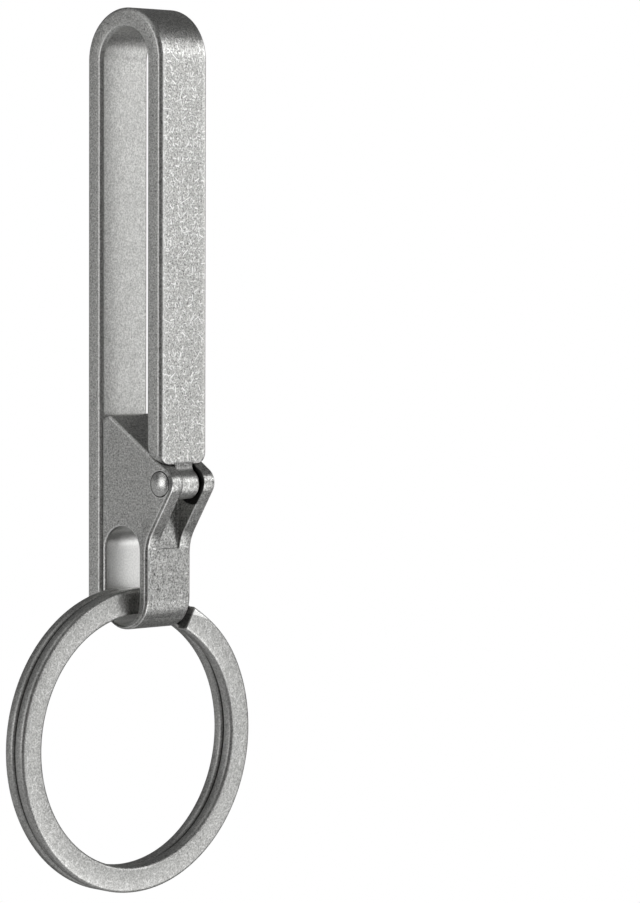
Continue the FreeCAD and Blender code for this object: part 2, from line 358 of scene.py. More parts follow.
def faces_group(name):
    """Millimetre coordinates that lie flat on a bar's faces, and which way a face looks."""
    outputs = {"Place": VECTOR, "Flat": VECTOR, "Front": FLOAT, "Side": FLOAT}
    wire, _ = new_tree(name, "ShaderNodeTree", {}, outputs)
    coordinates = wire.node("ShaderNodeTexCoord").outputs
    place = wire.scaled(coordinates["Object"], 1 / MM)
    x, y, z = wire.split(place)
    across, along, up = wire.split(wire.vector("ABSOLUTE", coordinates["Normal"]))
    sideways, slanted, square = 0.7, 0.75, 0.97
    side = wire.above(along, sideways)
    top = wire.times(wire.above(up, across), wire.inverse(side))
    results = {
        "Place": place,
        "Flat": wire.join(wire.between(side, y, x), wire.between(top, z, x), 0.0),
        "Front": wire.ramp(across, slanted, square),
        "Side": wire.ramp(along, slanted, square),
    }
    wire.node("NodeGroupOutput", results)
    return wire.tree


def marks_group(name):
    """Short straight nicks, one in a share of the cells, each with its own direction and length."""
    inputs = {"Flat": VECTOR, "Cell": FLOAT, "Length": FLOAT, "Width": FLOAT, "Share": FLOAT}
    wire, given = new_tree(name, "ShaderNodeTree", inputs, {"Marks": FLOAT})
    spread = {"Vector": given["Flat"], "Scale": wire.math("DIVIDE", 1.0, given["Cell"])}
    cells = wire.node("ShaderNodeTexVoronoi", spread, voronoi_dimensions="2D", feature="F1").outputs
    turn, luck, size = wire.split(cells["Color"])
    away = wire.vector("SUBTRACT", given["Flat"], cells["Position"])
    bearing = wire.times(turn, 2 * math.pi)
    cosine = wire.math("COSINE", bearing)
    sine = wire.math("SINE", bearing)
    along = wire.absolute(wire.dot(away, wire.join(cosine, sine, 0.0)))
    beside = wire.absolute(wire.dot(away, wire.join(wire.times(sine, -1.0), cosine, 0.0)))
    shortest, full_length, full_width = 0.2, 0.5, 0.4
    reach = wire.times(given["Length"], wire.plus(size, shortest))
    ends = wire.ramp(along, wire.times(reach, full_length), reach, 1.0, 0.0)
    edges = wire.ramp(beside, wire.times(given["Width"], full_width), given["Width"], 1.0, 0.0)
    strength = wire.ramp(luck, 0.0, given["Share"], 1.0, 0.0)
    wire.node("NodeGroupOutput", {"Marks": wire.times(ends, edges, strength)})
    return wire.tree


def grain_group(name):
    """Fine blasted grain, dark pits and the cloudy tone of tumbled metal."""
    inputs = {"Place": VECTOR, "Grain": FLOAT, "Cloud": FLOAT}
    wire, given = new_tree(name, "ShaderNodeTree", inputs, {"Grain": FLOAT, "Cloud": FLOAT, "Pits": FLOAT})
    pits_per_grain = 0.55
    grain = wire.noise(given["Place"], given["Grain"], detail=3.0, roughness=0.7)
    cloud = wire.noise(given["Place"], given["Cloud"], detail=3.0, roughness=0.6)
    pits = wire.noise(given["Place"], wire.times(given["Grain"], pits_per_grain), detail=2.0, roughness=0.6)
    results = {
        "Grain": wire.ramp(grain, 0.28, 0.72),
        "Cloud": wire.ramp(cloud, 0.3, 0.7),
        "Pits": wire.ramp(pits, 0.57, 0.72),
    }
    wire.node("NodeGroupOutput", results)
    return wire.tree


def wear_group(name):
    """Edges rubbed bright, with gaps where the rubbing missed."""
    inputs = {"Place": VECTOR, "Amount": FLOAT}
    wire, given = new_tree(name, "ShaderNodeTree", inputs, {"Wear": FLOAT})
    worn = wire.node("ShaderNodeAttribute", attribute_name=WORN).outputs["Fac"]
    missed = 0.25
    rubbing = wire.noise(given["Place"], 4.0, detail=4.0, roughness=0.7)
    patches = wire.ramp(rubbing, 0.32, 0.6, missed, 1.0)
    wear = wire.math("MULTIPLY", wire.times(worn, patches), given["Amount"], clamp=True)
    wire.node("NodeGroupOutput", {"Wear": wear})
    return wire.tree


# Titanium


class Finish(NamedTuple):
    """How rough a piece's metal is, and how strongly tumbling shows on it."""

    dullness: float
    front_marks: float
    side_marks: float
    wear: float
    cloud: float
    grain: float
    pits: float


HOOK_FINISH = Finish(
    dullness=0.36, front_marks=1.0, side_marks=0.22, wear=0.5, cloud=0.07, grain=0.75, pits=0.55
)
LEVER_FINISH = Finish(
    dullness=0.33, front_marks=0.8, side_marks=0.16, wear=0.72, cloud=0.06, grain=0.8, pits=0.6
)
RIVET_FINISH = Finish(
    dullness=0.18, front_marks=0.1, side_marks=0.25, wear=0.5, cloud=0.06, grain=0.35, pits=0.1
)
RING_FINISH = Finish(
    dullness=0.36, front_marks=0.4, side_marks=0.15, wear=0.4, cloud=0.05, grain=0.55, pits=0.22
)

# Each kind of mark: the cell that holds one, its length and width, and the share of cells that have one
FINE_MARKS = {"Cell": 0.34, "Length": 0.3, "Width": 0.085, "Share": 0.7}
NICKS = {"Cell": 0.72, "Length": 0.45, "Width": 0.1, "Share": 0.85}
SCRATCHES = {"Cell": 1.8, "Length": 1.3, "Width": 0.06, "Share": 0.8}

# How many grains and clouds there are to a millimetre
GRAIN = {"Grain": 5.4, "Cloud": 1.4}

# How strongly grain and pits show everywhere, and how much more where tumbling reaches
GRAIN_SHOWN = (1.3, 0.3)
PITS_SHOWN = (0.35, 0.65)

# Colours of freshly bared metal, the second also used for painted light,
# and what marks, rubbing and grain do to gloss and height
MARK_COLOUR = (0.95, 0.95, 0.94, 1.0)
WORN_AND_PAINTED_LIGHT_COLOUR = (0.9, 0.9, 0.885, 1.0)
FINE_MARK_LEVEL = 0.8
MARK_DEPTH = 1.5
RUBBED_GLOSS = 0.08
GRAIN_DULLNESS = 0.1
GRAIN_BUMP = {"Strength": 0.35, "Distance": 0.012 * MM}


def shade(metal, share):
    """A metal colour times a number, as a full colour."""
    return (*(part * share for part in metal), 1.0)


def titanium(name, metal, finish, shelter=None, polish_and_painted_light=None, painted_shade=None):
    """Stonewashed titanium: marks on the flat faces, grain, cloudy tone and bright edges.

    The last three build masks from the outputs of the faces group: shelter is what tumbling doesn't reach,
    the next is rubbed bright metal together with painted light, and the last is painted shade.
    """
    material, wire = new_material(name)
    shader = wire.tree.nodes["Principled BSDF"].inputs
    faces = wire.group(shared("Bar Faces", faces_group))
    grain = wire.group(shared("Metal Grain", grain_group), Place=faces["Place"], **GRAIN)
    fine, nicks, scratches = (
        wire.group(shared("Tumble Marks", marks_group), Flat=faces["Flat"], **kind)["Marks"]
        for kind in (FINE_MARKS, NICKS, SCRATCHES)
    )
    front = wire.times(faces["Front"], finish.front_marks)
    exposure = wire.plus(front, wire.times(faces["Side"], finish.side_marks))
    if shelter:
        exposure = wire.times(exposure, wire.inverse(shelter(wire, faces)))
    marks = wire.greatest(wire.times(fine, FINE_MARK_LEVEL), nicks, scratches)
    shown = wire.math("MULTIPLY", marks, exposure, clamp=True)
    worn_and_painted_light = wire.group(shared("Edge Wear", wear_group), Place=faces["Place"], Amount=finish.wear)["Wear"]
    # The extra bright masks add rubbed places and painted light to the edge wear.
    if polish_and_painted_light:
        worn_and_painted_light = wire.greatest(worn_and_painted_light, polish_and_painted_light(wire, faces))

    def strength(shares, amount):
        """An amount's share everywhere, and its further share where tumbling reaches."""
        everywhere, exposed = shares
        return wire.plus(everywhere * amount, wire.times(exposure, exposed * amount))

    tone = wire.tint(grain["Cloud"], shade(metal, 1 - finish.cloud), shade(metal, 1 + finish.cloud))
    speckle = wire.times(wire.minus(grain["Grain"], 0.5), strength(GRAIN_SHOWN, finish.grain))
    pitting = wire.times(grain["Pits"], strength(PITS_SHOWN, finish.pits))
    speckled = wire.scaled(tone, wire.plus(wire.minus(speckle, pitting), 1.0))
    # Painted light is mixed in like rubbed metal, and painted shade darkens the colour.
    coloured = wire.tint(worn_and_painted_light, wire.tint(shown, speckled, MARK_COLOUR), WORN_AND_PAINTED_LIGHT_COLOUR)
    if painted_shade:
        coloured = wire.scaled(coloured, wire.inverse(painted_shade(wire, faces)))
    wire.put(shader["Base Color"], coloured)
    wire.put(shader["Metallic"], 1.0)

    dull = wire.plus(finish.dullness, wire.times(grain["Grain"], GRAIN_DULLNESS))
    gloss = wire.times(wire.greatest(shown, worn_and_painted_light), RUBBED_GLOSS)
    wire.put(shader["Roughness"], wire.minus(dull, gloss))

    height = wire.minus(grain["Grain"], wire.times(shown, MARK_DEPTH))
    wire.put(shader["Normal"], wire.first("ShaderNodeBump", {**GRAIN_BUMP, "Height": height}))
    return material


# Masks of sheltered and rubbed places, of painted light and of painted shade, in millimetres

# Distances from the pivot's axis over which a mask fades
KNUCKLE_FADE = (1.75, 1.95)
TONGUE_SIDE_FADE = (1.8, 2.2)
EAR_FADE = (2.2, 2.4)

# Heights from the pivot over which a mask fades, and the floor's lowest
NECK_START = (1.4, 1.65)
NECK_END = (2.1, 2.3)
FORK_FLOOR_TOP = (-3.2, -2.4)
FORK_FLOOR_LOWEST = -7.2
SHANK_FRONT_TOP = (-5.0, -2.5)

# What is further forward than this is the lever's front face
FRONT_FACE_X = LEVER_FACE_X / MM - 0.06

# What is nearer to the middle plane than this is on the tongue or between the ears
TONGUE_REACH = TONGUE_HALF_WIDTH / MM + 0.05


def pivot_distance(wire, faces):
    """Distance from the pivot's axis."""
    x, _, z = wire.split(faces["Place"])
    return wire.hypot(wire.minus(x, PIVOT.x / MM), wire.minus(z, PIVOT.z / MM))


def pivot_height(wire, faces):
    """Height above the pivot's axis, below 0 under it."""
    _, _, z = wire.split(faces["Place"])
    return wire.minus(z, PIVOT.z / MM)


def inside_of_hook(wire, faces):
    """Nearly 1 on the hook's inner faces, which face the belt, and 0 on its outer faces."""
    level = 0.93
    x, _, z = wire.split(faces["Place"])
    above_bend = wire.greatest(wire.minus(z, BEND_Z / MM), 0.0)
    inner = BELT_HALF_GAP / MM + 0.02
    middle = (BELT_HALF_GAP + BAR_OUTSIDE) / 2 / MM
    return wire.ramp(wire.hypot(x, above_bend), inner, middle, level, 0.0)


def hook_wear_and_painted_light(wire, faces):
    """The borders of the hook's outer faces, where tumbling rubs most, and painted light on the knuckle and
    the inner faces.
    """
    border_level, knuckle_level, inner_level = 0.4, 0.1, 0.16
    _, y, _ = wire.split(faces["Place"])
    inside = inside_of_hook(wire, faces)
    border_start, border_full = (BAR_HALF_WIDTH / MM - inset for inset in (1.0, 0.3))
    border = wire.ramp(wire.absolute(y), border_start, border_full, 0.0, border_level)
    borders = wire.times(border, wire.inverse(inside), faces["Front"])
    # Painted light brightens the knuckle and the inner faces.
    knuckle = wire.ramp(pivot_distance(wire, faces), *KNUCKLE_FADE, knuckle_level, 0.0)
    return wire.greatest(borders, knuckle, wire.times(inside, inner_level))


def hook_painted_shade(wire, faces):
    """Painted shade on the sides of the tongue and its knuckle, and on the neck above the knuckle."""
    side_level, neck_level = 0.85, 0.6
    x, y, _ = wire.split(faces["Place"])
    off_middle = wire.absolute(y)
    side_start, side_full = (TONGUE_HALF_WIDTH / MM - inset for inset in (0.22, 0.02))
    # Painted shade along the tongue's sides, where they pass the ears.
    beside = wire.ramp(off_middle, side_start, side_full, 0.0, side_level)
    sides = wire.times(beside, wire.ramp(pivot_distance(wire, faces), *TONGUE_SIDE_FADE, 1.0, 0.0))
    height = pivot_height(wire, faces)
    # Painted shade on the neck above the knuckle.
    neck = wire.times(
        wire.ramp(height, *NECK_START, 0.0, neck_level),
        wire.ramp(height, *NECK_END, 1.0, 0.0),
    )
    on_tongue = wire.below(off_middle, TONGUE_REACH)
    on_front_arm = wire.above(x, 0.0)
    return wire.greatest(sides, wire.times(neck, on_tongue, on_front_arm))


def lever_inside(wire, faces):
    """1 on the walls of the lever's slot, which lie deeper than its outer faces and their rounded edges."""
    face_depth, side_depth, end_depth = 0.08, 0.13, 0.2
    x, y, z = wire.split(faces["Place"])
    within = wire.below(wire.absolute(x), LEVER_HALF_DEPTH / MM - face_depth)
    covered = wire.below(wire.absolute(y), LEVER_HIGH.y / MM - side_depth)
    under_pivot = wire.below(z, PIVOT.z / MM - 1.0)
    drop = wire.greatest(wire.minus(SLOT_END.z / MM, z), 0.0)
    aside = wire.minus(x, SLOT_END.x / MM)
    slot = wire.below(wire.hypot(aside, drop), LEVER_END_RADIUS / MM - end_depth)
    return wire.times(within, covered, under_pivot, slot)


def lever_painted_light(wire, faces):
    """Painted light on the slot's walls and the fork's floor, and a painted highlight on the rims of the
    rivet heads' recesses.
    """
    wall_level, floor_level, rim_level = 0.6, 0.7, 0.55
    x, y, _ = wire.split(faces["Place"])
    # Painted light on the slot's walls and the fork's floor.
    walls = wire.times(lever_inside(wire, faces), wall_level)
    between_ears = wire.below(wire.absolute(y), TONGUE_REACH)
    behind_face = wire.below(x, FRONT_FACE_X)
    height = pivot_height(wire, faces)
    lower = wire.ramp(height, *FORK_FLOOR_TOP, floor_level, 0.0)
    floor = wire.times(between_ears, behind_face, lower, wire.above(height, FORK_FLOOR_LOWEST))
    # Painted highlight along the rim of each head's recess.
    off_rim = wire.absolute(wire.minus(pivot_distance(wire, faces), RECESS_RADIUS / MM))
    rim = wire.times(wire.ramp(off_rim, 0.02, 0.08, rim_level, 0.0), faces["Side"])
    return wire.greatest(walls, floor, rim)


def lever_painted_shade(wire, faces):
    """Painted shade in the grooves round the rivet heads and where the ears pass the tongue, and a darker
    front face low on the shank.
    """
    groove_level, ear_level, front_level = 0.93, 0.92, 0.22
    x, y, _ = wire.split(faces["Place"])
    radius = pivot_distance(wire, faces)
    # Painted shade: a dark ring round each rivet head, and a dark line where each ear passes the tongue.
    groove_full, groove_end = (HEAD_RADIUS / MM + gap for gap in (0.06, 0.12))
    groove = wire.ramp(radius, groove_full, groove_end, groove_level, 0.0)
    ear_full, ear_end = (TONGUE_HALF_WIDTH / MM + gap for gap in (0.14, 0.3))
    passing = wire.ramp(wire.absolute(y), ear_full, ear_end, ear_level, 0.0)
    ears = wire.times(passing, wire.ramp(radius, *EAR_FADE, 1.0, 0.0))
    on_shank = wire.ramp(pivot_height(wire, faces), *SHANK_FRONT_TOP, front_level, 0.0)
    front = wire.times(wire.above(x, FRONT_FACE_X), on_shank)
    return wire.greatest(groove, ears, front)


def ring_turn(settings):
    """The rotation of the ring as it hangs: its twist in the slot, then its lean."""
    return Matrix.Rotation(settings.lean, 3, "Y") @ Matrix.Rotation(settings.twist, 3, "Z")


def ring_place(wire, faces, axis):
    """How far a point is from the ring's centre along one of the ring's axes."""
    return wire.dot(wire.vector("SUBTRACT", faces["Place"], RING_CENTRE / MM), axis)


def ring_painted_shade(settings, wire, faces):
    """Painted shade in the gap between the ring's two turns."""
    level, full, end = 0.7, 0.06, 0.18
    axle = ring_turn(settings).col[0]
    return wire.ramp(wire.absolute(ring_place(wire, faces, axle)), full, end, level, 0.0)


def ring_painted_highlight(settings, wire, faces):
    """A painted highlight in a wedge along the outer front edge, from the wire's front end."""
    widest, fade, front_of_gap = 1.3, 0.12, 0.6
    before_end = -0.05
    x, y, z = (ring_place(wire, faces, axis) for axis in ring_turn(settings).col)
    depth = wire.minus(settings.outer_radius / MM, wire.hypot(y, z))
    bearing = wire.minus(wire.math("ARCTAN2", y, z), settings.front_end)
    left = wire.inverse(wire.math("DIVIDE", bearing, settings.end_highlight))
    width = wire.times(left, wire.above(bearing, before_end), widest)
    wedge = wire.ramp(wire.minus(width, depth), 0.0, fade)
    return wire.times(wedge, wire.above(x, front_of_gap))


# Meshes

WELD = 0.002 * MM
SHARP = math.radians(24)
END_EASING = 0.1 * MM
RIVET_SEGMENTS = 64


def linked(name, data):
    """An object of some data, in the scene."""
    made = bpy.data.objects.new(name, data)
    bpy.context.scene.collection.objects.link(made)
    return made


def bake(made):
    """Turns an object's evaluated modifiers into its plain mesh."""
    evaluated = made.evaluated_get(bpy.context.evaluated_depsgraph_get())
    mesh = bpy.data.meshes.new_from_object(evaluated)
    mesh.name = made.name
    made.modifiers.clear()
    made.data = mesh


def welded(*meshes):
    """A bmesh of some meshes with their loose faces joined."""
    solid = bmesh.new()
    for mesh in meshes:
        solid.from_mesh(mesh)
    bmesh.ops.remove_doubles(solid, verts=solid.verts, dist=WELD)
    return solid


def remove_parting(solid, height, behind):
    """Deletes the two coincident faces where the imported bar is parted, so that the bar is one skin."""
    near = 0.003 * MM
    parting = []
    for face in solid.faces:
        if all(abs(v.co.z - height) < near and v.co.x < behind for v in face.verts):
            parting.append(face)
    bmesh.ops.delete(solid, geom=parting, context="FACES")
    bmesh.ops.remove_doubles(solid, verts=solid.verts, dist=near)


def round_off(solid, edges, width, segments, worn):
    """Rounds edges, and marks the ridge of each outward rounding as worn."""
    rounded = bmesh.ops.bevel(
        solid,
        geom=edges,
        offset=width,
        offset_type="OFFSET",
        segments=segments,
        profile=0.5,
        affect="EDGES",
    )
    solid.normal_update()
    ridge = solid.verts.layers.float.new(WORN)
    new_faces = set(rounded["faces"])
    for vert in solid.verts:
        outward = sum(edge.calc_face_angle_signed(0.0) for edge in vert.link_edges) > 0
        if outward and all(face in new_faces for face in vert.link_faces):
            vert[ridge] = worn


def round_sharp_edges(solid, width, keep):
    """Rounds a solid's sharp edges, apart from those that keep picks."""
    edges = [e for e in solid.edges if len(e.link_faces) == 2 and e.calc_face_angle() > SHARP]
    for edge in edges:
        edge.smooth = not keep(edge)
    round_off(solid, [e for e in edges if e.smooth], width, segments=3, worn=1.0)


def in_recess(edge):
    """Whether an edge belongs to the lever's bore or to the recess of a rivet head."""
    return all(math.hypot(v.co.x - PIVOT.x, v.co.z - PIVOT.z) < RECESS_RADIUS for v in edge.verts)


def at_arm_end(settings, edge):
    """Whether an edge bounds the front arm's sloped end face or lies just below it."""
    uphill = Vector((math.sin(settings.end_slope), 0, math.cos(settings.end_slope)))
    just_past = 0.15 * MM
    reach = settings.end_reach + just_past
    lowest = PIVOT.z + 0.5 * settings.end_reach
    hindmost = BELT_HALF_GAP - MM
    spots = [v.co for v in edge.verts]
    return all((s - PIVOT).dot(uphill) < reach and s.x > hindmost and s.z > lowest for s in spots)


def as_object(name, solid, material):
    """A smooth mesh object from a bmesh, with face-weighted normals written into its mesh."""
    mesh = bpy.data.meshes.new(name)
    bmesh.ops.recalc_face_normals(solid, faces=solid.faces)
    solid.to_mesh(mesh)
    solid.free()
    mesh.materials.append(material)
    mesh.shade_smooth()
    made = linked(name, mesh)
    modifier = made.modifiers.new("normals", "WEIGHTED_NORMAL")
    modifier.weight = 100
    modifier.keep_sharp = True
    bake(made)
    return made


def lathe(profile, centre, segments):
    """A bmesh turned about the Y axis through centre from (radius, height) points, ending on the axis."""
    solid = bmesh.new()
    rings = []
    for radius, height in profile:
        if radius == 0:
            rings.append([solid.verts.new(centre + Vector((0, height, 0)))])
            continue
        ring = []
        for step in range(segments):
            turn = 2 * math.pi * step / segments
            spot = Vector((radius * math.cos(turn), height, radius * math.sin(turn)))
            ring.append(solid.verts.new(centre + spot))
        rings.append(ring)
    for above, below in zip(rings, rings[1:]):
        for step in range(segments):
            following = (step + 1) % segments
            corners = [above[step % len(above)], above[following % len(above)]]
            corners += [below[following % len(below)], below[step % len(below)]]
            solid.faces.new(list(dict.fromkeys(corners)))
    return solid


def rivet_profile(settings, crown):
    """Points of the rivet's half section from one dome's top to the other's."""
    rise = settings.head_dome
    rim = settings.head_radius
    seat = crown - rise - settings.head_rim
    sphere = (rim**2 + rise**2) / (2 * rise)
    corner = 0.05 * MM
    dome_steps, dome_share = 8, 0.96
    upper = []
    for step in range(dome_steps + 1):
        tilt = dome_share * math.asin(rim / sphere) * step / dome_steps
        upper.append((sphere * math.sin(tilt), crown - sphere * (1 - math.cos(tilt))))
    upper.append((rim - corner * 0.3, crown - rise - corner * 0.1))
    upper.append((rim, crown - rise - corner))
    upper.append((rim, seat))
    upper.append((settings.shank_radius, seat))
    return upper + [(radius, -height) for radius, height in reversed(upper)]


def ease_ends(mesh):
    """Eases the cut ends of the ring's wire and smooths the rest."""
    wound = welded(mesh)
    bmesh.ops.recalc_face_normals(wound, faces=wound.faces)
    caps = [face for face in wound.faces if len(face.verts) > 4]
    rims = [edge for face in caps for edge in face.edges]
    round_off(wound, rims, END_EASING, segments=2, worn=0.5)
    wound.to_mesh(mesh)
    wound.free()
    mesh.shade_smooth()


# Geometry Nodes for the split ring

RING_SIZES = (
    "Outer Radius",
    "Wire Height",
    "Wire Thickness",
    "Turn Gap",
    "Edge Radius",
    "Front End",
    "End Inset",
    "End Bend",
    "Jog Start",
    "Jog End",
    "Back End",
)
RING_INPUTS = {
    "Geometry": GEOMETRY,
    **dict.fromkeys(RING_SIZES, FLOAT),
    "Turn": VECTOR,
    "Centre": VECTOR,
    "Steps": "NodeSocketInt",
    "Metal": "NodeSocketMaterial",
}
FILLET_STEPS = 4


def ring_tree():
    """Flat wire wound in two turns side by side, with a jog from the front turn to the back one."""
    wire, given = new_tree("Wind Split Ring", "GeometryNodeTree", RING_INPUTS, {"Geometry": GEOMETRY})
    line = wire.first("GeometryNodeCurvePrimitiveLine")
    path = wire.first("GeometryNodeResampleCurve", {"Curve": line, "Count": given["Steps"]}, mode="COUNT")

    along = wire.node("GeometryNodeSplineParameter").outputs["Factor"]
    wound_angle = wire.minus(given["Back End"], given["Front End"])
    bearing = wire.plus(given["Front End"], wire.times(along, wound_angle))
    half_pitch = wire.times(wire.plus(given["Wire Thickness"], given["Turn Gap"]), 0.5)
    other_half = wire.times(half_pitch, -1.0)
    offset = wire.ramp(bearing, given["Jog Start"], given["Jog End"], half_pitch, other_half)
    bend_end = wire.plus(given["Front End"], given["End Bend"])
    inset = wire.ramp(bearing, given["Front End"], bend_end, given["End Inset"], 0.0)
    middle = wire.minus(given["Outer Radius"], wire.times(given["Wire Height"], 0.5), inset)
    across = wire.times(middle, wire.math("SINE", bearing))
    up = wire.times(middle, wire.math("COSINE", bearing))
    winding = {"Geometry": path, "Position": wire.join(offset, across, up)}
    wound = wire.first("GeometryNodeSetPosition", winding)
    standing = {"Curve": wound, "Normal": (1.0, 0.0, 0.0)}
    upright = wire.first("GeometryNodeSetCurveNormal", standing, mode="FREE")

    flat = {"Width": given["Wire Thickness"], "Height": given["Wire Height"]}
    section = wire.first("GeometryNodeCurvePrimitiveQuadrilateral", flat, mode="RECTANGLE")
    easing = {"Curve": section, "Count": FILLET_STEPS, "Radius": given["Edge Radius"]}
    eased = wire.first("GeometryNodeFilletCurve", easing, mode="POLY")

    sweep = {"Curve": upright, "Profile Curve": eased, "Fill Caps": True}
    swept = wire.first("GeometryNodeCurveToMesh", sweep)
    hanging = {"Geometry": swept, "Translation": given["Centre"], "Rotation": given["Turn"]}
    hung = wire.first("GeometryNodeTransform", hanging)
    real = wire.first("GeometryNodeRealizeInstances", {"Geometry": hung})
    clad = wire.first("GeometryNodeSetMaterial", {"Geometry": real, "Material": given["Metal"]})
    wire.node("NodeGroupOutput", {"Geometry": clad})
    return wire.tree


def ring_values(settings, metal):
    """The inputs of the ring's tree by name."""
    values = {label: getattr(settings, label.lower().replace(" ", "_")) for label in RING_SIZES}
    values["Turn"] = ring_turn(settings).to_euler()
    values["Centre"] = RING_CENTRE
    values["Steps"] = settings.steps
    values["Metal"] = metal
    return values


def set_inputs(modifier, values):
    """Sets a Geometry Nodes modifier's inputs by their sockets' identifiers."""
    for item in modifier.node_group.interface.items_tree:
        if item.in_out == "INPUT" and item.name in values:
            modifier[item.identifier] = values[item.name]


# Stage

PICTURE_HEIGHT = 903
SENSOR_WIDTH = 36.0
WHITE = (1, 1, 1, 1)
FLOOR_HALF = 4.0
FLOOR_GLOW = 0.8
CARD_RADIUS = 1.6
CARD_STEP = 6.0
LAMP_DISTANCE = 1.3

# Name, bearing from and to (from +X towards +Y), height angle from and to, in degrees, and grey tone
CARDS = (
    ("card_top", 0, 360, 75, 90, 0.14),
    ("card_top_right", -40, 200, 50, 75, 0.12),
    ("card_top_left", 200, 320, 50, 75, 0.75),
    ("card_above_right", 0, 135, 24, 50, 0.12),
    ("card_above_back", 135, 225, 24, 50, 0.13),
    ("card_above_left", 225, 285, 24, 50, 0.4),
    ("card_above_camera", 285, 360, 24, 50, 0.12),
    ("card_front_high", 0, 30, 5, 24, 0.4),
    ("card_front_low", 0, 30, -14, 5, 0.16),
    ("card_back_right_high", 60, 120, 5, 24, 0.4),
    ("card_back_right_low", 60, 120, -14, 5, 0.18),
    ("card_back", 120, 180, -14, 24, 0.1),
    ("card_left_high", 180, 240, 5, 24, 0.16),
    ("card_left_low", 180, 240, -14, 5, 0.36),
    ("card_camera", 270, 360, -14, 24, 0.13),
    ("card_below_mirror", 45, 70, -28, -14, 0.9),
    ("card_below_back", 70, 180, -28, -14, 0.2),
    ("card_below_right", 45, 180, -50, -28, 0.09),
    ("card_below_left", 180, 270, -50, -14, 0.38),
    ("card_below_camera", 270, 360, -50, -14, 0.25),
    ("card_under", 0, 360, -90, -50, 0.45),
)

# Name, bearing and height angle in degrees, width and height in metres, and the setting of its power
SOFTBOXES = (
    ("softbox_right", 45, 20, (0.7, 0.43), "right_watts"),
    ("softbox_left", 255, 5, (0.7, 0.88), "left_watts"),
    ("softbox_low", 22, -32, (1.0, 0.8), "low_watts"),
)


def camera_axes(stage):
    """The camera's right, up and forward directions before its roll."""
    level = math.cos(stage.camera_pitch)
    forward = Vector(
        (
            -math.sin(stage.camera_yaw) * level,
            math.cos(stage.camera_yaw) * level,
            -math.sin(stage.camera_pitch),
        )
    )
    right = Vector((math.cos(stage.camera_yaw), math.sin(stage.camera_yaw), 0))
    return right, right.cross(forward), forward


def add_camera(stage):
    """The camera at the photograph's viewing angle."""
    right, up, forward = camera_axes(stage)
    place = -forward * stage.camera_distance - right * stage.camera_right - up * stage.camera_up
    lean = Matrix.Rotation(stage.camera_roll, 3, -forward)
    turned = Matrix((lean @ right, lean @ up, -forward)).transposed().to_4x4()
    data = bpy.data.cameras.new("camera")
    data.sensor_fit = "AUTO"
    data.sensor_width = SENSOR_WIDTH
    data.lens = stage.focal_pixels * SENSOR_WIDTH / PICTURE_HEIGHT
    data.clip_start = 0.01
    data.clip_end = 20
    camera = linked("camera", data)
    camera.matrix_world = Matrix.Translation(place) @ turned
    bpy.context.scene.camera = camera


def seen_directly(wire):
    """1 for rays from the camera, and for those that metal or glass send on."""
    light = wire.node("ShaderNodeLightPath").outputs
    return wire.greatest(light["Is Camera Ray"], light["Is Glossy Ray"], light["Is Transmission Ray"])


def add_world(stage):
    """A white surround, and an even room light for everything else."""
    world = bpy.data.worlds.new("studio")
    world.use_nodes = True
    wire = Wiring(world.node_tree)
    room = wire.tree.nodes["Background"]
    wire.put(room.inputs["Color"], WHITE)
    wire.put(room.inputs["Strength"], stage.room_level)
    white = wire.first("ShaderNodeBackground", {"Color": WHITE})
    lit = wire.mixed(seen_directly(wire), room.outputs[0], white)
    wire.put(wire.tree.nodes["World Output"].inputs["Surface"], lit)
    bpy.context.scene.world = world


def floor_material(stage):
    """A pale floor, white where it is seen directly and clear from below."""
    material, wire = new_material("pale_floor")
    base = wire.tree.nodes["Principled BSDF"]
    wire.put(base.inputs["Base Color"], (*stage.floor_colour, 1.0))
    wire.put(base.inputs["Roughness"], 0.9)
    glow = wire.first("ShaderNodeEmission", {"Strength": wire.times(seen_directly(wire), FLOOR_GLOW)})
    lit = wire.first("ShaderNodeAddShader", {0: base.outputs[0], 1: glow})
    from_below = wire.node("ShaderNodeNewGeometry").outputs["Backfacing"]
    sided = wire.mixed(from_below, lit, wire.first("ShaderNodeBsdfTransparent"))
    wire.put(wire.tree.nodes["Material Output"].inputs["Surface"], sided)
    return material


def card_material(name, tone):
    """A studio card: the metal mirrors it, and the camera looks through it."""
    material, wire = new_material(name)
    wire.tree.nodes.remove(wire.tree.nodes["Principled BSDF"])
    card = wire.first("ShaderNodeEmission", {"Color": (tone, tone, tone, 1)})
    from_camera = wire.node("ShaderNodeLightPath").outputs["Is Camera Ray"]
    mixed = wire.mixed(from_camera, card, wire.first("ShaderNodeBsdfTransparent"))
    wire.put(wire.tree.nodes["Material Output"].inputs["Surface"], mixed)
    return material


def towards(bearing, height):
    """A unit direction from a bearing and a height angle in degrees."""
    level = math.cos(math.radians(height))
    turn = math.radians(bearing)
    return Vector((level * math.cos(turn), level * math.sin(turn), math.sin(math.radians(height))))


def add_card(name, bearings, heights, tone):
    """A curved card round the object."""
    columns = max(1, round((bearings[1] - bearings[0]) / CARD_STEP))
    rows = max(1, round((heights[1] - heights[0]) / CARD_STEP))
    card = bmesh.new()
    grid = []
    for row in range(rows + 1):
        height = heights[0] + (heights[1] - heights[0]) * row / rows
        line = []
        for column in range(columns + 1):
            bearing = bearings[0] + (bearings[1] - bearings[0]) * column / columns
            line.append(card.verts.new(OBJECT_MIDDLE + towards(bearing, height) * CARD_RADIUS))
        grid.append(line)
    for lower, upper in zip(grid, grid[1:]):
        for column in range(columns):
            card.faces.new((lower[column + 1], lower[column], upper[column], upper[column + 1]))
    mesh = bpy.data.meshes.new(name)
    card.to_mesh(mesh)
    card.free()
    mesh.materials.append(card_material(name, tone))
    linked(name, mesh)


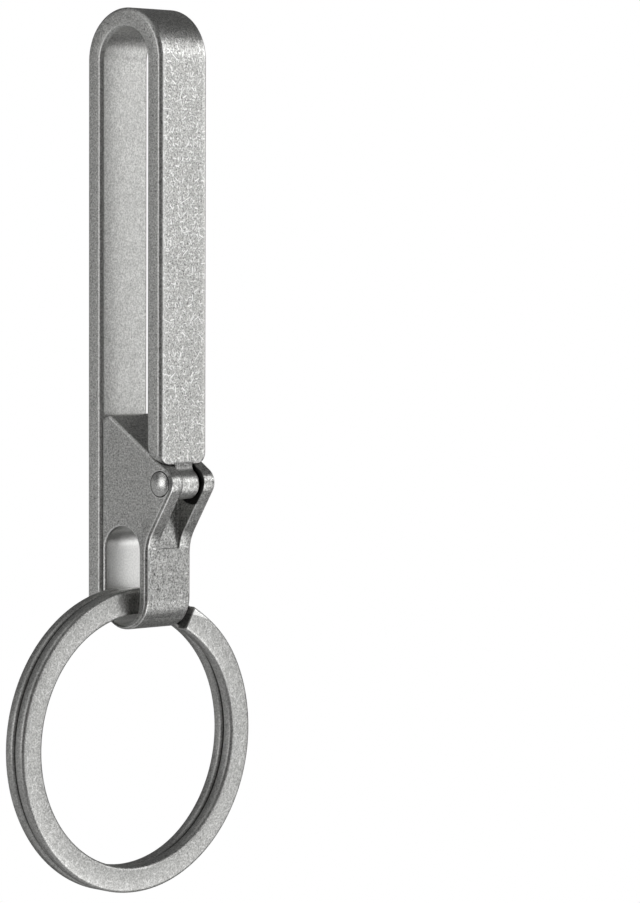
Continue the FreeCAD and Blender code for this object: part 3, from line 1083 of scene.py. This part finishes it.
def add_softbox(name, bearing, height, size, power):
    """A rectangular softbox that faces the object from a direction in degrees."""
    data = bpy.data.lights.new(name, "AREA")
    data.shape = "RECTANGLE"
    data.size, data.size_y = size
    data.energy = power
    direction = towards(bearing, height)
    lamp = linked(name, data)
    lamp.location = OBJECT_MIDDLE + direction * LAMP_DISTANCE
    lamp.rotation_euler = (-direction).to_track_quat("-Z", "Y").to_euler()


def add_floor(stage):
    """A plain pale floor far below the hanging clip."""
    mesh = bpy.data.meshes.new("floor")
    corners = [(-1, -1), (1, -1), (1, 1), (-1, 1)]
    spots = [(x * FLOOR_HALF, y * FLOOR_HALF, -stage.floor_drop) for x, y in corners]
    mesh.from_pydata(spots, [], [(0, 1, 2, 3)])
    mesh.materials.append(floor_material(stage))
    linked("floor", mesh)


# Operators


class CLIP_OT_hook(bpy.types.Operator):
    """Makes the bent bar with its two arms as one skin"""

    bl_idname = "clip.build_hook"
    bl_label = "Hook"

    def execute(self, context):
        settings = context.scene.clip_bar
        metal = titanium(
            "hook_titanium_worn",
            settings.hook_colour,
            HOOK_FINISH,
            shelter=inside_of_hook,
            polish_and_painted_light=hook_wear_and_painted_light,
            painted_shade=hook_painted_shade,
        )
        nodes = frame["nodes"]
        solid = welded(nodes["clip_frame"].data, nodes["spring_arm"].data)
        remove_parting(solid, BEND_Z, -BELT_HALF_GAP + 0.1 * MM)
        round_sharp_edges(solid, settings.hook_edge, partial(at_arm_end, settings))
        hook = as_object("hook", solid, metal)
        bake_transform(hook)
        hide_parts("clip_frame", "spring_arm")
        return {"FINISHED"}


class CLIP_OT_lever(bpy.types.Operator):
    """Makes the gate lever with its nose, ears and slot"""

    bl_idname = "clip.build_lever"
    bl_label = "Gate lever"

    def execute(self, context):
        settings = context.scene.clip_bar
        metal = titanium(
            "lever_titanium_worn",
            settings.lever_colour,
            LEVER_FINISH,
            shelter=lever_inside,
            polish_and_painted_light=lever_painted_light,
            painted_shade=lever_painted_shade,
        )
        solid = welded(frame["nodes"]["gate_lever"].data)
        round_sharp_edges(solid, settings.lever_edge, in_recess)
        lever = as_object("lever", solid, metal)
        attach(lever, "gate")
        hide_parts("gate_lever")
        return {"FINISHED"}


class CLIP_OT_rivet(bpy.types.Operator):
    """Turns the rivet with its two domed heads"""

    bl_idname = "clip.build_rivet"
    bl_label = "Rivet"

    def execute(self, context):
        settings = context.scene.clip_rivet
        metal = titanium("rivet_titanium_worn", settings.rivet_colour, RIVET_FINISH)
        solid = lathe(rivet_profile(settings, RIVET_HIGH.y), PIVOT, RIVET_SEGMENTS)
        rivet = as_object("rivet", solid, metal)
        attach(rivet, "gate")
        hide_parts("pivot_rivet")
        return {"FINISHED"}


class CLIP_OT_ring(bpy.types.Operator):
    """Winds the split ring"""

    bl_idname = "clip.build_ring"
    bl_label = "Split ring"

    def execute(self, context):
        settings = context.scene.clip_ring
        metal = titanium(
            "ring_titanium_blasted",
            settings.ring_colour,
            RING_FINISH,
            polish_and_painted_light=partial(ring_painted_highlight, settings),
            painted_shade=partial(ring_painted_shade, settings),
        )
        ring = linked("ring", bpy.data.meshes.new("ring"))
        modifier = ring.modifiers.new("winding", "NODES")
        modifier.node_group = ring_tree()
        set_inputs(modifier, ring_values(settings, metal))
        bake(ring)
        ease_ends(ring.data)
        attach(ring, "ring")
        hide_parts("split_ring")
        return {"FINISHED"}


class CLIP_OT_stage(bpy.types.Operator):
    """Sets the camera, the studio cards, the light and the floor"""

    bl_idname = "clip.build_stage"
    bl_label = "Stage"

    def execute(self, context):
        stage = context.scene.clip_stage
        context.scene.view_settings.view_transform = "Standard"
        add_camera(stage)
        add_world(stage)
        for name, start, end, low, high, tone in CARDS:
            add_card(name, (start, end), (low, high), tone)
        for name, bearing, height, size, power in SOFTBOXES:
            add_softbox(name, bearing, height, size, getattr(stage, power))
        add_floor(stage)
        return {"FINISHED"}


OPERATORS = (CLIP_OT_hook, CLIP_OT_lever, CLIP_OT_rivet, CLIP_OT_ring, CLIP_OT_stage)
SETTINGS = {
    "clip_bar": ClipBarSettings,
    "clip_rivet": ClipRivetSettings,
    "clip_ring": ClipRingSettings,
    "clip_stage": ClipStageSettings,
}


class CLIP_PT_panel(bpy.types.Panel):
    """Sizes, colours and the steps that build the clip"""

    bl_idname = "CLIP_PT_panel"
    bl_label = "Belt Key Clip"
    bl_space_type = "VIEW_3D"
    bl_region_type = "UI"
    bl_category = "Key Clip"

    def draw(self, context):
        for operator in OPERATORS:
            self.layout.operator(operator.bl_idname)
        for name, group in SETTINGS.items():
            box = self.layout.box()
            for label in group.__annotations__:
                box.prop(getattr(context.scene, name), label)


CLASSES = (*SETTINGS.values(), *OPERATORS, CLIP_PT_panel)


def register():
    """Registers the classes and hangs the settings on the scene."""
    for item in CLASSES:
        bpy.utils.register_class(item)
    for name, group in SETTINGS.items():
        setattr(bpy.types.Scene, name, PointerProperty(type=group))


def unregister():
    """Takes the settings and the classes away again."""
    for name in SETTINGS:
        delattr(bpy.types.Scene, name)
    for item in reversed(CLASSES):
        bpy.utils.unregister_class(item)


def main():
    register()
    bpy.ops.clip.build_hook()
    bpy.ops.clip.build_lever()
    bpy.ops.clip.build_rivet()
    bpy.ops.clip.build_ring()
    bpy.ops.clip.build_stage()


if __name__ == "__main__":
    main()
